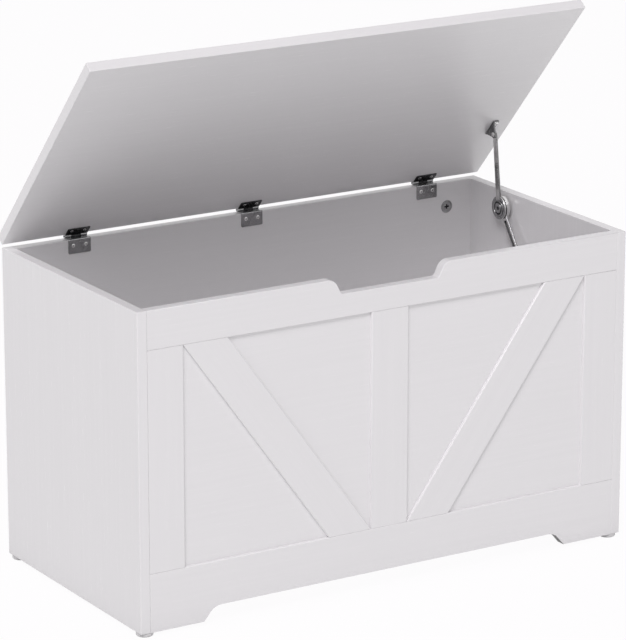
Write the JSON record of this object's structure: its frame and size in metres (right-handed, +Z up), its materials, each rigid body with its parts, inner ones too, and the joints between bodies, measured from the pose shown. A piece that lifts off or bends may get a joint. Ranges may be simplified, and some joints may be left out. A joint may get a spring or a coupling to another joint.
{
  "type": "storage trunk",
  "caption": "White farmhouse storage trunk with a barn-door front, hand notch, arched base rail, hinged lid held open by a folding friction stay, and glide feet.",
  "frame": {"origin": "on the floor under the middle of the body's width and depth", "axes": "+X to the trunk's right as seen from the front, +Y to the rear, +Z up"},
  "size_m": [0.8, 0.389, 0.7709],
  "materials": {
    "white_board": "satin white foil on board, faint grain",
    "white_trim": "satin white foil on thin board, faint grain",
    "dark_steel": "dark, semi-gloss",
    "bright_steel": "zinc plated",
    "nickel_steel": "nickel plated, satin",
    "black_nylon": "matt",
    "dark_zinc": "cast, dull grey",
    "bare_wood": "bare",
    "pale_plastic": "matt"
  },
  "bodies": {
    "chest": {"left_side_panel": "white_board", "right_side_panel": "white_board", "rear_panel": "white_board", "front_panel": "white_board", "bottom_panel": "white_board", "top_rail": "white_trim", "bottom_rail": "white_trim", "left_stile": "white_trim", "centre_stile": "white_trim", "right_stile": "white_trim", "left_brace": "white_trim", "right_brace": "white_trim", "left_hinge_rear_leaf": "dark_steel", "centre_hinge_rear_leaf": "dark_steel", "right_hinge_rear_leaf": "dark_steel", "left_hinge_pin": "dark_steel", "centre_hinge_pin": "dark_steel", "right_hinge_pin": "dark_steel", "hinge_screws_rear": "bright_steel", "stay_base_bracket": "nickel_steel", "stay_base_screws": "bright_steel", "cam_locks_rear": "dark_zinc", "cam_locks_front": "dark_zinc", "cam_locks_bottom": "dark_zinc", "cam_bolts": "bright_steel", "dowels": "bare_wood", "front_left_foot": "pale_plastic", "rear_left_foot": "pale_plastic", "front_right_foot": "pale_plastic", "rear_right_foot": "pale_plastic", "foot_nails": "bright_steel"},
    "lid": {"lid_panel": "white_board", "left_hinge_lid_leaf": "dark_steel", "centre_hinge_lid_leaf": "dark_steel", "right_hinge_lid_leaf": "dark_steel", "hinge_screws_lid": "bright_steel", "stay_lid_bracket": "nickel_steel", "stay_lid_screws": "bright_steel", "stay_lid_pin": "nickel_steel"},
    "stay_upper_arm": {"stay_upper_arm": "nickel_steel", "stay_elbow_pin": "nickel_steel", "stay_elbow_cap": "nickel_steel"},
    "stay_lower_arm": {"stay_lower_arm": "nickel_steel", "stay_base_pin": "nickel_steel", "stay_friction_washer": "black_nylon"}
  },
  "joints": [
    {"name": "lid_hinge", "type": "hinge", "parent": "chest", "child": "lid", "pos_m": [0, 0.19, 0.4613], "axis": [-1, 0, 0], "range_deg": [-48, 0]},
    {"name": "stay_lid_pivot", "type": "hinge", "parent": "lid", "child": "stay_upper_arm", "pos_m": [0.369, 0.09662, 0.54408], "axis": [-1, 0, 0], "range_deg": [0, 5.3]},
    {"name": "stay_elbow", "type": "hinge", "parent": "stay_upper_arm", "child": "stay_lower_arm", "pos_m": [0.372, 0.084, 0.435], "axis": [-1, 0, 0], "range_deg": [0, 90]}
  ],
  "couplings": [
    {"joint": "stay_lid_pivot", "follows": "lid_hinge", "ratio": -0.10853},
    {"joint": "stay_elbow", "follows": "lid_hinge", "ratio": -1.8691}
  ]
}
